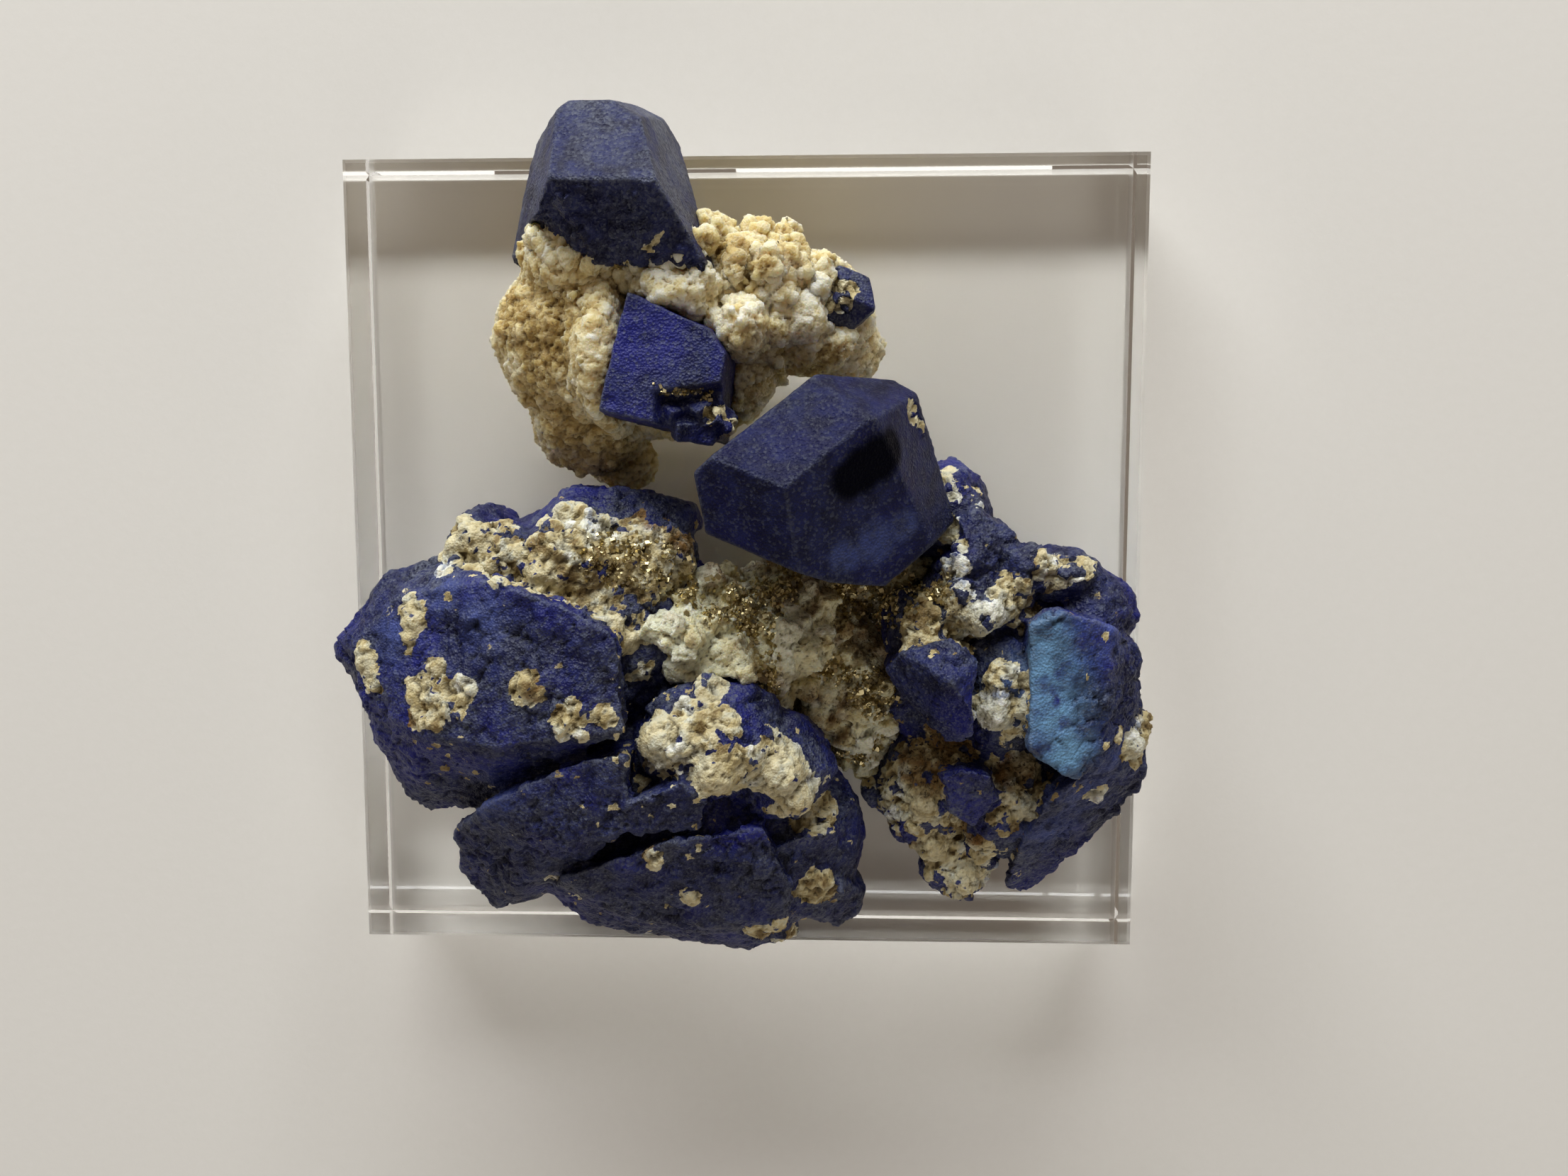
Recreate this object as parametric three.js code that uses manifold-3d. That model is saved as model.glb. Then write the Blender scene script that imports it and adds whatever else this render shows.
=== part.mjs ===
// A lazurite specimen: blue dodecahedral crystals grown in white calcite with pyrite,
// resting on a clear acrylic display block. Millimetres, +Z up.
// The origin is the centre of the block's underside, and +Y runs to the block's back edge.
import * as THREE from 'three';
import { ConvexGeometry } from 'three/addons/geometries/ConvexGeometry.js';
import { ImprovedNoise } from 'three/addons/math/ImprovedNoise.js';
import { mergeVertices } from 'three/addons/utils/BufferGeometryUtils.js';
import Module from 'manifold-3d';

const wasm = await Module();
wasm.setup();

// Driving dimensions
const BLOCK_SIDE = 75;
const BLOCK_HEIGHT = 12;
const BLOCK_CHAMFER = 0.4;
const GAP = 0.3;
const REST = BLOCK_HEIGHT + 0.2;

// Shape values
const CAP_ELEVATION = 54.74;
const FOOT_PULL = 0.2;
const LUMP_WAVES = 1.7;
const LUMP_ROUGHNESS = 0.16;
const GRAIN_ROUGHNESS = 0.3;
const BIG_LUMP = 4.5;
const CUTTER_SIDE = 200;
const SAME_POINT = 1e-4;

// Materials
const lazurite = new THREE.MeshStandardMaterial({ color: 0x2a2f6e, roughness: 0.5, metalness: 0 });
const calcite = new THREE.MeshStandardMaterial({ color: 0xd8ceaa, roughness: 0.7, metalness: 0 });
const greyCalcite = new THREE.MeshStandardMaterial({ color: 0xa39a7c, roughness: 0.6, metalness: 0 });
const acrylic = new THREE.MeshStandardMaterial({
  color: 0xf4f4f0,
  roughness: 0.05,
  metalness: 0,
  transparent: true,
  opacity: 0.25,
});

// Directions and planes
const radians = THREE.MathUtils.degToRad;

// The unit vector that looks along an azimuth (from +X towards +Y) and an elevation above the horizon.
function direction(azimuth, elevation) {
  const level = Math.cos(radians(elevation));
  const turn = radians(azimuth);
  return new THREE.Vector3(level * Math.cos(turn), level * Math.sin(turn), Math.sin(radians(elevation)));
}

// The corners of the convex solid that a set of planes encloses.
function corners(planes) {
  const found = new Map();
  const inside = (p) => planes.every(({ normal, distance }) => normal.dot(p) <= distance + 1e-6);
  for (let a = 0; a < planes.length; a++)
    for (let b = a + 1; b < planes.length; b++)
      for (let c = b + 1; c < planes.length; c++) {
        const [p, q, r] = [planes[a], planes[b], planes[c]];
        const qr = q.normal.clone().cross(r.normal);
        const volume = p.normal.dot(qr);
        if (Math.abs(volume) < 1e-6) continue;
        const point = qr
          .multiplyScalar(p.distance)
          .addScaledVector(r.normal.clone().cross(p.normal), q.distance)
          .addScaledVector(p.normal.clone().cross(q.normal), r.distance)
          .divideScalar(volume);
        if (inside(point)) found.set(point.toArray().map((x) => x.toFixed(3)).join(), point);
      }
  return [...found.values()];
}

// Building blocks: each returns a function of the margin that it is grown by.

// A crystal of flat faces. Each face is [azimuth, elevation, distance from the centre].
function crystal(at, faces) {
  return (margin = 0) => {
    const planes = faces.map(([azimuth, elevation, distance]) => ({
      normal: direction(azimuth, elevation),
      distance: distance + margin,
    }));
    return new ConvexGeometry(corners(planes)).translate(...at);
  };
}

// A small rhombic dodecahedron with a three-fold corner on top, spun about that corner's upright axis.
function dodecahedron(at, spin, distance) {
  const belts = [30, 90, 150, 210, 270, 330].map((turn) => [spin + turn, 0, distance]);
  const caps = [0, 120, 240].map((turn) => [spin + turn, CAP_ELEVATION, distance]);
  const bases = [60, 180, 300].map((turn) => [spin + turn, -CAP_ELEVATION, distance]);
  return crystal(at, [...caps, ...belts, ...bases]);
}

// A crystal given by the corners that show. Its foot is the same ring of corners, pulled in and lowered.
function rooted(shown, footHeight) {
  const middle = shown.reduce((sum, p) => sum.add(new THREE.Vector3(...p)), new THREE.Vector3());
  middle.divideScalar(shown.length);
  const foot = shown.map(([x, y]) => [
    x + (middle.x - x) * FOOT_PULL,
    y + (middle.y - y) * FOOT_PULL,
    footHeight,
  ]);
  return (margin = 0) => {
    const points = [];
    for (const [x, y, z] of [...shown, ...foot])
      for (const i of [-margin, margin])
        for (const j of [-margin, margin])
          for (const k of [-margin, margin]) points.push(new THREE.Vector3(x + i, y + j, z + k));
    return new ConvexGeometry(points);
  };
}

// A rounded lump whose surface swells and dips with a smooth noise.
const noise = new ImprovedNoise();
function lump(at, [x, y, z], rough = LUMP_ROUGHNESS, detail = Math.max(x, y, z) > BIG_LUMP ? 2 : 1) {
  return (margin = 0) => {
    const shape = new THREE.IcosahedronGeometry(1, detail);
    const points = shape.getAttribute('position');
    const p = new THREE.Vector3();
    for (let i = 0; i < points.count; i++) {
      p.fromBufferAttribute(points, i);
      const q = p.clone().multiplyScalar(LUMP_WAVES);
      const swell = 1 + rough * noise.noise(q.x + at[0], q.y + at[1], q.z + at[2]);
      p.multiplyScalar(swell).multiply(new THREE.Vector3(x + margin, y + margin, z + margin));
      points.setXYZ(i, p.x, p.y, p.z);
    }
    return shape.translate(...at);
  };
}

// A seeded run of numbers from 0 to 1, the same at every build.
function randomRun(seed) {
  let state = seed;
  return () => {
    state = (state * 16807) % 2147483647;
    return state / 2147483647;
  };
}

// A crust of small rough grains over the upper side of a lump.
function grains(at, size, { count, from, to, azimuth, spread, elevation, seed }) {
  const next = randomRun(seed);
  return Array.from({ length: count }, () => {
    const turn = azimuth + spread * (2 * next() - 1);
    const rise = elevation[0] + (elevation[1] - elevation[0]) * next();
    const way = direction(turn, rise);
    const radius = from + (to - from) * next();
    const centre = at.map((value, i) => value + way.getComponent(i) * size[i]);
    const stretch = [1, 0.75 + 0.4 * next(), 0.75 + 0.4 * next()].map((share) => share * radius);
    return lump(centre, stretch, GRAIN_ROUGHNESS, 0);
  });
}

// Joining and cutting
function solid(geometry) {
  const bare = new THREE.BufferGeometry().setAttribute('position', geometry.getAttribute('position'));
  if (geometry.index) bare.setIndex(geometry.index);
  const merged = mergeVertices(bare, SAME_POINT);
  return new wasm.Manifold(
    new wasm.Mesh({
      numProp: 3,
      vertProperties: new Float32Array(merged.getAttribute('position').array),
      triVerts: new Uint32Array(merged.index.array),
    }),
  );
}

function join(pieces, margin = 0) {
  return pieces.map((piece) => solid(piece(margin))).reduce((all, one) => all.add(one));
}

// What is under the block's top face, which the specimen rests on.
const cutter = new THREE.BoxGeometry(CUTTER_SIDE, CUTTER_SIDE, CUTTER_SIDE);
const below = solid(cutter.translate(0, 0, REST - CUTTER_SIDE / 2));

// The largest of the closed bodies in a solid, without crumbs that a cut has left.
function largest(made) {
  return made.decompose().reduce((best, one) => (one.volume() > best.volume() ? one : best));
}

function mesh(name, made, material) {
  const { numProp, vertProperties, triVerts } = largest(made).getMesh();
  const points = new Float32Array((vertProperties.length / numProp) * 3);
  for (let i = 0; i < points.length / 3; i++)
    points.set(vertProperties.subarray(i * numProp, i * numProp + 3), i * 3);
  const geometry = new THREE.BufferGeometry()
    .setAttribute('position', new THREE.BufferAttribute(points, 3))
    .setIndex(new THREE.BufferAttribute(new Uint32Array(triVerts), 1));
  geometry.computeVertexNormals();
  const made3d = new THREE.Mesh(geometry, material);
  made3d.name = name;
  return made3d;
}

// Display block
function displayBlock() {
  const half = BLOCK_SIDE / 2 - BLOCK_CHAMFER;
  const outline = new THREE.Shape([
    new THREE.Vector2(-half, -half),
    new THREE.Vector2(half, -half),
    new THREE.Vector2(half, half),
    new THREE.Vector2(-half, half),
  ]);
  const shape = new THREE.ExtrudeGeometry(outline, {
    depth: BLOCK_HEIGHT - 2 * BLOCK_CHAMFER,
    bevelSize: BLOCK_CHAMFER,
    bevelThickness: BLOCK_CHAMFER,
    bevelSegments: 1,
  });
  return solid(shape.translate(0, 0, BLOCK_CHAMFER));
}

// Large crystal, above the middle of the specimen: a dodecahedron seen along its three-fold axis
const largeCrystal = [
  crystal([8, 7.6, 29.5], [
    [99, 54.7, 7.2],
    [219, 54.7, 8.3],
    [339, 54.7, 5.3],
    [129, 0, 7.3],
    [189, 0, 10],
    [249, 0, 7],
    [262, 0, 7.5],
    [309, 0, 9.4],
    [10, 28, 6.6],
    [67, 25, 7.9],
    [88, 0, 8.7],
    [39, -54.7, 8],
    [159, -54.7, 8],
    [279, -54.7, 8],
  ]),
];

// Top crystal, at the back on the upper calcite: a light face to the back and a broken one to the front
const topCrystal = [
  crystal([-9.5, 31, 26], [
    [92, 58, 6.2],
    [268, 52, 5.6],
    [167, 21, 6.2],
    [23, 11, 5.4],
    [90, 10, 7.6],
    [130, 12, 8],
    [62, 14, 7],
    [268, 0, 5.6],
    [228, 28, 5.4],
    [0, -30, 7],
    [90, -45, 8],
    [0, -90, 7],
  ]),
  rooted([[-14.5, 37, 27.5], [-13.6, 31, 32.6], [-15, 29.2, 30], [-19.2, 28.2, 20], [-17, 32, 25]], 19),
];

// Embedded crystal, let into the upper calcite, with a recess at its right front corner
const embeddedCrystal = [
  crystal([-5, 16.6, 24], [
    [80, 85, 6],
    [166, 3, 4.8],
    [257, 3, 4.5],
    [-8, 3, 4.9],
    [32, 3, 5.2],
    [66, 3, 5],
    [0, -90, 4],
  ]),
];
const embeddedRecess = [rooted([[-7, 16, 33], [9, 18, 33], [10, 2, 33], [-6.5, 2, 33]], 28.4)];

// Side crystal, a small one on the right of the upper calcite
const sideCrystal = [dodecahedron([9.5, 23.2, 21.6], 40, 2.4)];

// Upper calcite
const upperCalcite = [
  lump([-13.4, 20, 18.5], [8, 7.6, 8], LUMP_ROUGHNESS, 3),
  lump([-13.5, 13.5, 17], [5.2, 5, 5.6]),
  lump([-11, 9.6, 14.4], [3.2, 3, 2.6]),
  lump([-13, 26.6, 21], [5.6, 4, 6.6]),
  lump([-10.8, 19, 23.5], [2.8, 6.5, 6]),
  lump([-4, 18, 18.5], [7.5, 6.5, 7]),
  lump([1.2, 24, 19.5], [6.5, 5.4, 7]),
  lump([6, 22.3, 18], [6, 5.4, 6]),
  lump([9.8, 19.4, 15.5], [3, 3, 3.6]),
  lump([-3, 27.4, 21.5], [3.4, 3, 5]),
  lump([-4.5, 23.5, 25], [3.6, 2, 4.6]),
  lump([0.6, 20.4, 24.5], [2.4, 2.8, 4.4]),
  ...grains([2.2, 24, 19.6], [6.5, 4.6, 6.4], {
    count: 23, from: 1, to: 1.8, azimuth: 80, spread: 75, elevation: [10, 70], seed: 11,
  }),
];

// Left cluster
const leftCluster = [
  rooted([
    [-32, -5.5, 28], [-27.5, -1.5, 29], [-19, 0, 32], [-12.5, -2, 33.5], [-8.5, -4.5, 33.5],
    [-8, -12, 34], [-18.5, -13.5, 33.5], [-25, -13, 31.5], [-31.5, -10.5, 28], [-35, -6.5, 24.5],
    [-29.5, 0, 25.5], [-25.5, 1.5, 25], [-29.5, -21, 22], [-28, -22.5, 21], [-22, -21, 24],
  ], 14),
  rooted([
    [-19.5, -18.5, 31], [-11.5, -14.5, 33], [-8, -14, 33.5], [-8, -20.5, 32], [-14, -22.5, 31],
    [-24.5, -22.5, 26], [-25, -27.5, 22], [-22.5, -32, 20], [-18.5, -30.5, 21], [-16, -24.5, 28],
  ], 14),
  rooted([
    [-14.5, -26, 28], [-8.5, -24.5, 30], [-5, -21.5, 32], [3, -20.5, 31], [5, -25.5, 29],
    [4, -30.5, 26], [-2, -30.5, 26.5], [-9.5, -30, 26], [-17, -29.5, 22], [-12.5, -33.5, 20],
    [-5.5, -34.5, 20], [1, -36, 19], [5.5, -34.5, 18],
  ], 14),
  rooted([[-8.5, -18.5, 32.5], [-3.5, -16, 34], [-1.5, -18, 33], [-2, -20.5, 31.5], [-8, -21.5, 31]], 22),
  rooted([[3.5, -23, 29], [5.5, -22, 29], [9, -22, 27], [9.5, -24.5, 25], [5.5, -26, 27]], 18),
  rooted([[7.5, -29, 25], [9.5, -27, 25], [11.5, -29, 22], [11, -32, 20], [8.5, -33, 20]], 16),
  rooted([
    [-18, 4, 24], [-14.5, 7.5, 24], [-8, 7, 24], [-3.5, 5.5, 23],
    [-3, 3.5, 20], [-4.5, 3, 24], [-10, 4.5, 27], [-15, 5, 27],
  ], 16),
  rooted([
    [-25.5, 2.5, 23], [-24, 4.5, 24], [-22.5, 6, 23], [-21, 5.5, 22.5], [-19.5, 4, 24], [-21.5, 4, 27],
  ], 17),
  lump([-14, -5, 20], [13, 10, 9]),
  lump([-13, -20, 19], [11, 9, 8]),
  lump([-2, -20, 20], [10, 11, 9.5]),
  lump([-19.5, 1.5, 24], [4.4, 3, 4.4]),
  lump([-13.5, 1.2, 25], [5.4, 4, 4.6]),
  lump([-8, 1, 23.5], [5, 4.4, 4.6]),
  lump([-1.5, -14, 27], [6.4, 5.6, 6]),
  lump([3.5, -16.5, 25.5], [5, 5, 5.6]),
  lump([6, -24, 20], [5.4, 8, 6.5]),
];

// Right cluster
const rightCluster = [
  rooted([
    [24.5, -3.5, 31], [27, -2.5, 31], [31.5, -4, 29], [34.5, -6, 25], [36, -14, 23],
    [36, -18, 22], [31, -14.5, 29], [27.5, -16.5, 30], [24.5, -14, 31],
  ], 14),
  rooted([
    [27, -19, 27], [31.5, -15, 28], [36, -17, 23], [35.5, -20.5, 20],
    [31, -26.5, 18], [27, -31, 16], [24.5, -30.5, 17], [25, -24.5, 23],
  ], 13),
  rooted([
    [13, -8, 28], [14, -6, 30], [18, -5, 31], [20.5, -6.5, 31], [20, -11, 32],
    [20, -14, 29], [18, -14, 28], [15.5, -11.5, 28], [18, -8, 33.5],
  ], 18),
  rooted([
    [18, -17.5, 26], [19.5, -16.5, 27], [22, -17, 27], [23, -19.5, 25], [21, -22.5, 24], [19, -21, 24.5],
  ], 17),
  rooted([[19, 4.5, 25], [20.5, 5.5, 25], [24, 3.5, 25], [24.5, 2, 25], [23, 1, 26], [19.5, 3, 27]], 17),
  dodecahedron([20.6, 1.4, 25.5], 20, 1.9),
  dodecahedron([24.8, 0.4, 25], 75, 2),
  lump([24, -9, 17.5], [11, 11, 7]),
  lump([28, -0.5, 21.5], [4.6, 2.6, 5]),
  lump([21, -2, 22.5], [5, 4, 5.4]),
  lump([16.2, -4.6, 23], [3.6, 3, 4.6]),
  lump([23, -10, 21.5], [4, 6, 6.6]),
  lump([31, -3.5, 21.5], [4, 3.6, 5]),
  lump([18, -20.5, 16.5], [5, 6.4, 5.4]),
  lump([14.4, -21, 14.8], [3, 2.6, 3]),
  lump([20, -27.4, 16], [4, 3.6, 4.2]),
  lump([24, -21, 18], [5, 5.5, 5.5]),
  lump([18.4, 5, 18.5], [4, 4.4, 6]),
];

// Calcite bridge
const calciteBridge = [
  lump([-4.4, -5.2, 20], [5.6, 5, 8.2]),
  lump([-1, -9, 20], [6.4, 5, 7.6]),
  lump([4.6, -6.4, 17.6], [7, 6, 6.4]),
  lump([10, -11, 16.4], [5.4, 6.4, 5.6]),
  lump([11.4, -16.4, 14.4], [3.2, 3.4, 3.4]),
  lump([10.6, 1.6, 17.4], [7, 5, 5.2]),
  ...grains([2.5, -6.5, 18.5], [7.5, 6, 6.6], {
    count: 13, from: 1, to: 1.9, azimuth: 0, spread: 180, elevation: [25, 85], seed: 5,
  }),
];

const large = join(largeCrystal);
const left = join(leftCluster).subtract(below);
const right = join(rightCluster).subtract(join(largeCrystal, GAP)).subtract(below);
const upper = join(upperCalcite)
  .subtract(join([...topCrystal, ...embeddedCrystal, ...sideCrystal, ...largeCrystal, ...leftCluster], GAP))
  .subtract(below);
const bridge = join(calciteBridge)
  .subtract(join([...largeCrystal, ...leftCluster, ...rightCluster, ...upperCalcite], GAP))
  .subtract(below);

const specimen = new THREE.Group();
specimen.add(
  mesh('acrylic_block', displayBlock(), acrylic),
  mesh('upper_calcite', upper, calcite),
  mesh('top_crystal', join(topCrystal), lazurite),
  mesh('embedded_crystal', join(embeddedCrystal).subtract(join(embeddedRecess)), lazurite),
  mesh('side_crystal', join(sideCrystal), lazurite),
  mesh('large_crystal', large, lazurite),
  mesh('left_cluster', left, lazurite),
  mesh('right_cluster', right, lazurite),
  mesh('calcite_bridge', bridge, greyCalcite),
);

export default specimen;
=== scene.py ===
import math

import bmesh
import bpy
import numpy as np
from mathutils import Matrix, Vector


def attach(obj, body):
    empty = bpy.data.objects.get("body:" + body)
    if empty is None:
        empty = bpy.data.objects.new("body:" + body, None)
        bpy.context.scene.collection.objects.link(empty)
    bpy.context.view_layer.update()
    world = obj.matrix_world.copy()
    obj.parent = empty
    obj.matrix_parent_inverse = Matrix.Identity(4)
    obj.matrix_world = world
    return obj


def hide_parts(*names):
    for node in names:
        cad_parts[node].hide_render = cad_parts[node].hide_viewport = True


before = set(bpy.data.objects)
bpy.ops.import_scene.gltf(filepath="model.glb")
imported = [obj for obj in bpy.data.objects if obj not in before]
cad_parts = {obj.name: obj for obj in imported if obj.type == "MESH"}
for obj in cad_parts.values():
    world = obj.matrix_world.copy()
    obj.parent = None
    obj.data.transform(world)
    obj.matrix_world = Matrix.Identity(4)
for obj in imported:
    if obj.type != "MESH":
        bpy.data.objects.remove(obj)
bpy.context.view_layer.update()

# Sizes are in millimetres until a mesh is made, and MM turns them into metres.
MM = 0.001
BODY = "root"

# Camera, as it looks down on the block
IMAGE_WIDTH = 2212
FOCAL_PIXELS = 1853.6
SENSOR_WIDTH = 36.0
CAMERA_AT = Vector((8.85, 10.28, 136.47))
CAMERA_TURN_DEG = Vector((-5.94, 2.28, 0.05))

# Mesh sizes, the edge of a face in millimetres
FACE_SIZE = {
    "upper_calcite": 0.2,
    "top_crystal": 0.22,
    "embedded_crystal": 0.16,
    "side_crystal": 0.12,
    "large_crystal": 0.22,
    "left_cluster": 0.27,
    "right_cluster": 0.22,
    "calcite_bridge": 0.19,
}

# Places where one mineral shows on another, and places of other marks, painted sheen and painted reflections
# among them: x, y, z and radius
LEFT_CALCITE = [
    (-22.2, 2.1, 27.2, 3.4), (-18.4, 1.3, 28.0, 3.0), (-13.4, 3.1, 28.7, 3.8), (-9.5, 1.9, 27.8, 4.0),
    (-5.4, 1.2, 27.1, 3.6), (-14.0, -0.4, 28.9, 2.6), (-10.1, -1.1, 28.0, 3.4), (-19.8, 3.6, 26.9, 2.0),
    (-26.0, -2.8, 29.6, 1.5), (-26.2, -4.2, 29.9, 1.3), (-24.2, -9.6, 31.3, 2.5), (-22.3, -10.0, 32.0, 1.8),
    (-16.1, -8.2, 33.4, 1.5), (-15.0, -8.8, 33.5, 1.0), (-30.5, -8.6, 28.7, 1.4), (-30.8, -7.0, 28.4, 1.2),
    (-26.6, -5.8, 30.0, 0.7), (-25.6, -11.4, 31.1, 1.3), (-12.6, -11.3, 33.7, 1.9),
    (-9.8, -10.7, 33.9, 1.2),
    (-7.0, -13.2, 32.0, 2.3), (-5.6, -14.2, 31.3, 2.5), (-1.9, -12.1, 32.7, 3.4), (0.3, -15.6, 32.6, 3.2),
    (3.7, -15.3, 31.1, 3.2), (5.4, -17.9, 30.3, 2.5), (7.1, -20.2, 26.0, 2.2), (7.1, -27.2, 25.9, 2.0),
    (2.7, -31.5, 24.8, 2.2), (5.5, -33.5, 21.0, 2.4), (-3.4, -27.0, 28.5, 1.0), (-6.3, -23.3, 30.8, 0.9),
    (-15.6, -26.7, 25.4, 0.8), (-13.7, -28.6, 25.3, 0.6), (-7.6, -4.5, 29.5, 2.6), (-6.6, -8.5, 29.0, 2.4),
]
LEFT_STAIN = [
    (-15.2, -8.8, 33.5, 1.2), (-15.6, -26.7, 25.4, 1.4), (-6.0, 3.5, 24.0, 3.5), (-21.5, -17.0, 26.0, 1.6),
    (-7.0, -22.5, 29.5, 1.6), (-26.5, -11.8, 30.5, 0.9), (-8.0, -15.0, 30.0, 1.4),
]
# Painted sheen: lighter blue where the left cluster's faces catch light
LEFT_PAINTED_SHEEN = [
    (-24.0, -0.5, 31.0, 3.0), (-20.0, -3.0, 33.0, 3.0), (-28.0, -5.0, 29.5, 3.0), (-19.5, -18.5, 29.0, 3.0),
]
LEFT_LUMPS = [
    (-5.6, -13.1, 31.0, 2.2), (-0.7, -15.7, 32.2, 2.2), (4.4, -15.9, 30.2, 2.4), (5.6, -18.2, 29.9, 1.7),
    (-7.4, -18.0, 27.8, 1.1), (-15.8, -8.3, 33.2, 1.3), (-15.0, -8.9, 33.2, 0.9), (-26.0, -3.7, 29.7, 1.3),
    (-26.3, -5.0, 29.7, 1.0), (-30.9, -7.5, 28.2, 1.2), (-30.3, -9.2, 28.2, 0.9), (-21.6, 3.0, 26.7, 2.0),
    (-23.4, 2.2, 26.5, 1.3), (-15.5, 0.2, 28.4, 1.6), (-18.3, -0.3, 31.6, 1.0), (-9.9, -4.2, 28.0, 1.4),
    (-8.7, -5.5, 27.8, 1.3), (-1.8, -9.2, 29.2, 1.8), (-6.3, -23.9, 30.3, 0.8), (-3.6, -27.0, 28.3, 0.8),
]
RIGHT_CALCITE = [
    (18.4, -2.9, 26.8, 2.8), (23.0, -2.3, 27.2, 2.5), (16.0, -4.6, 27.7, 2.2), (19.7, -4.8, 26.0, 2.2),
    (24.7, -4.5, 23.7, 2.0), (20.3, 5.5, 23.6, 1.2), (18.2, 3.6, 24.0, 1.5), (18.7, 1.2, 25.9, 1.6),
    (27.3, 0.6, 25.9, 1.9), (29.7, 0.9, 25.4, 1.7), (22.5, -11.1, 27.7, 2.6), (24.2, -13.5, 25.2, 2.0),
    (23.0, -8.4, 28.3, 1.8), (24.5, -18.5, 22.5, 2.6), (26.4, -20.4, 22.6, 1.6), (15.9, -20.9, 21.0, 4.4),
    (17.1, -17.6, 21.3, 3.4), (19.6, -16.0, 21.0, 2.4), (19.2, -25.8, 19.6, 4.0), (21.3, -29.4, 18.8, 3.0),
    (34.4, -14.7, 24.7, 1.8), (35.6, -13.4, 22.5, 1.8), (32.7, -13.6, 26.9, 0.8), (30.9, -19.2, 24.5, 0.9),
    (23.8, -22.0, 23.7, 1.5), (13.5, -21.5, 18.8, 3.0), (22.5, -24.5, 20.0, 2.0), (17.5, 6.5, 21.0, 3.0),
]
RIGHT_STAIN = [
    (17.1, -17.2, 21.3, 3.4), (19.8, -15.8, 21.0, 2.6), (25.8, -24.1, 22.8, 2.0), (24.5, -17.6, 22.5, 2.0),
    (13.6, -1.6, 23.6, 2.4), (16.0, -24.0, 17.0, 2.6), (21.5, -23.5, 21.0, 1.6),
]
RIGHT_CYAN = [
    (25.6, -7.6, 31.0, 4.2), (26.4, -10.8, 30.8, 4.0), (27.8, -14.2, 30.0, 3.2), (26.0, -4.8, 31.0, 2.8),
]
# Painted sheen: lighter blue where the right cluster's faces catch light
RIGHT_PAINTED_SHEEN = [
    (29.5, -18.6, 25.0, 4.0), (32.5, -15.6, 26.0, 3.4), (27.4, -22.6, 22.6, 3.4), (31.5, -4.5, 29.0, 3.0),
]
RIGHT_WHITE = [
    (34.3, -13.4, 25.0, 3.0), (20.3, 5.5, 23.6, 2.4), (27.6, 0.2, 26.0, 3.4), (18.7, 1.2, 25.9, 2.4),
    (30.9, -19.2, 24.5, 1.6), (22.0, -3.0, 27.4, 4.0), (22.6, -11.5, 27.7, 3.0), (25.6, -20.9, 22.8, 2.0),
]
RIGHT_LUMPS = [
    (15.7, -5.7, 26.8, 1.8), (21.3, -3.4, 27.3, 1.9), (22.2, -11.7, 27.3, 1.7), (24.8, -11.2, 27.5, 1.2),
    (34.1, -14.8, 24.9, 1.4), (31.1, -14.0, 28.6, 0.6), (31.3, -19.2, 24.1, 0.8), (25.8, -17.6, 21.4, 1.5),
    (25.6, -20.9, 22.8, 1.3), (17.8, -25.5, 19.2, 2.0), (20.6, -28.3, 19.4, 1.8), (16.7, -21.0, 21.2, 1.8),
]
BRIDGE_STAIN = [
    (10.2, -3.3, 18.5, 5.0), (4.2, -1.6, 21.9, 2.8), (7.0, 0.0, 20.0, 5.0), (13.0, -8.5, 20.0, 3.0),
    (-0.4, 0.9, 23.0, 2.0), (12.0, -14.5, 17.0, 3.0),
]
BRIDGE_LUMPS = [
    (-4.4, -7.7, 26.0, 2.0), (2.9, -5.2, 23.4, 2.2), (6.9, -12.9, 20.6, 2.2), (4.4, -8.2, 25.0, 1.8),
    (-0.5, -6.7, 26.4, 1.7), (10.2, -16.6, 18.3, 1.6), (8.2, -10.8, 21.5, 1.8), (3.8, -11.5, 23.5, 1.6),
]
UPPER_LUMPS = [
    (5.8, 21.6, 23.8, 2.4), (8.6, 19.9, 21.6, 2.2), (3.4, 20.8, 24.4, 2.0), (6.5, 19.2, 21.8, 1.8),
    (4.0, 23.4, 25.0, 1.8),
]
UPPER_STAIN = [
    (-16.5, 21.5, 25.0, 4.5), (-16.0, 15.5, 23.5, 3.0), (-12.5, 9.6, 19.0, 3.4), (-6.5, 26.5, 27.0, 2.0),
    (0.6, 26.0, 26.5, 2.0), (2.2, 19.5, 22.0, 2.0), (7.5, 18.0, 20.5, 2.0), (-13.5, 12.0, 21.0, 2.5),
]
UPPER_WHITE = [
    (-9.4, 20.0, 29.0, 2.4), (-1.0, 22.6, 28.0, 3.5), (-6.0, 24.2, 29.0, 3.0),
    (6.8, 22.4, 23.8, 3.6), (9.8, 19.4, 20.0, 3.0), (4.5, 24.0, 25.0, 3.0),
]
UPPER_CREST = [
    (2.0, 25.5, 26.0, 6.0), (6.5, 25.0, 24.0, 4.0), (-3.0, 27.5, 26.5, 3.0), (4.0, 27.5, 23.0, 4.0),
]
UPPER_LAPS = [
    (-17.0, 27.2, 23.4, 1.6), (-15.8, 28.0, 25.6, 1.8), (-14.4, 27.2, 26.4, 1.9), (-12.8, 26.4, 26.6, 1.8),
    (-11.4, 25.8, 26.4, 1.7), (-10.0, 25.3, 25.6, 1.6), (-8.4, 25.0, 25.8, 1.4), (-6.8, 25.2, 26.6, 1.4),
    (-5.2, 25.4, 27.6, 1.3), (-3.6, 26.2, 28.4, 1.4), (-2.4, 27.4, 27.4, 1.5),
]
SIDE_SPECKS = [(8.4, 23.6, 24.4, 2.2), (7.0, 24.4, 24.6, 1.6)]
LARGE_CHIP = [(15.2, 13.5, 28.6, 1.3), (16.0, 12.4, 28.0, 0.9)]
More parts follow.
